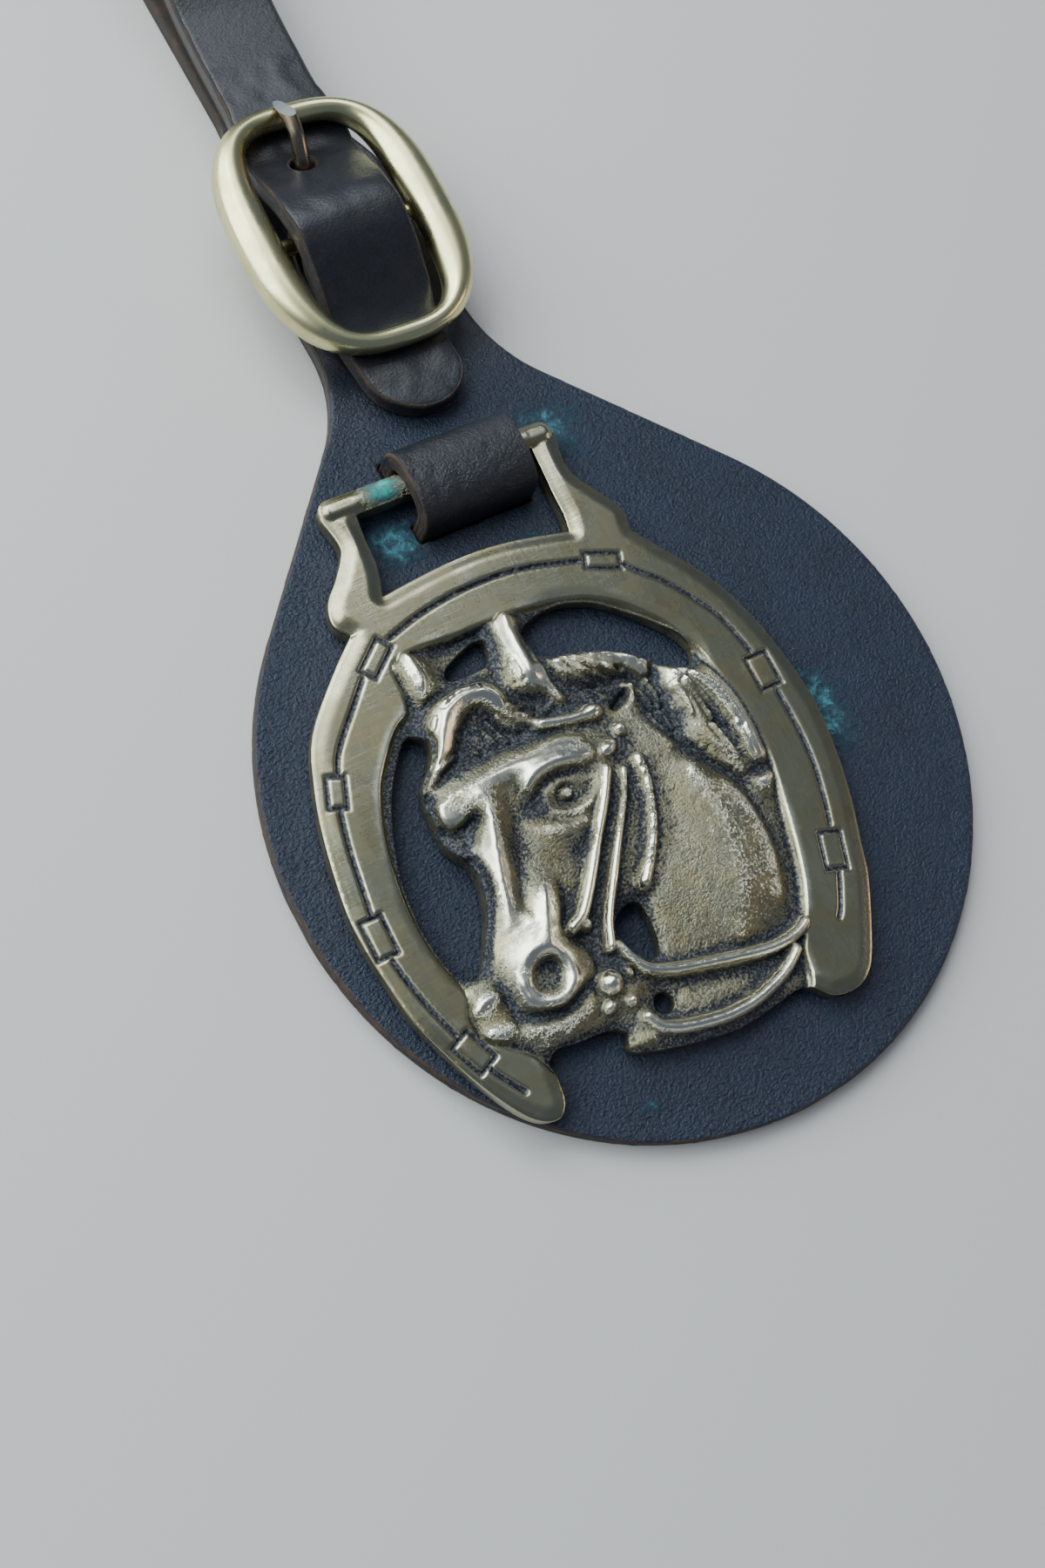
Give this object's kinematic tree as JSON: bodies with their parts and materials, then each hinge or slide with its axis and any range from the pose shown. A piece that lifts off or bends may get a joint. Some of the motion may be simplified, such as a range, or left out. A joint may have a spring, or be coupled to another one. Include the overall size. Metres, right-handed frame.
{
  "type": "horse brass on leather backing",
  "caption": "Cast brass horse head in a horseshoe, swinging from a bar held by a leather loop on a round leather backing with a buckled hanging strap.",
  "frame": {"origin": "middle of the round backing, on its underside", "axes": "+X across to the right as the brass is seen, +Y from the disc towards the hanging loop, +Z out of the decorated face"},
  "size_m": [0.104, 0.2045, 0.0149],
  "materials": {
    "backing_leather": "blue-black pebbled leather with raw brown edges, stained with verdigris by the brass",
    "strap_leather": "smooth black leather with a soft sheen and raw brown cut edges",
    "polished_brass": "smooth satin pale brass",
    "tongue_steel": "dull plated steel wire with a bright slanted tip",
    "aged_brass": "antique brass, dark in its hollows and worn pale on its high places"
  },
  "bodies": {
    "backing": {"leather_backing": "backing_leather", "hanger_loop": "strap_leather", "buckle_chape": "strap_leather", "buckle_frame": "polished_brass", "buckle_tongue": "tongue_steel"},
    "brass": {"horse_brass": "aged_brass"}
  },
  "joints": [
    {"name": "brass_swing", "type": "hinge", "parent": "backing", "child": "brass", "pos_m": [-0.006, 0.0474, 0.00505], "axis": [-1, 0, 0], "range_deg": [0, 115]}
  ]
}
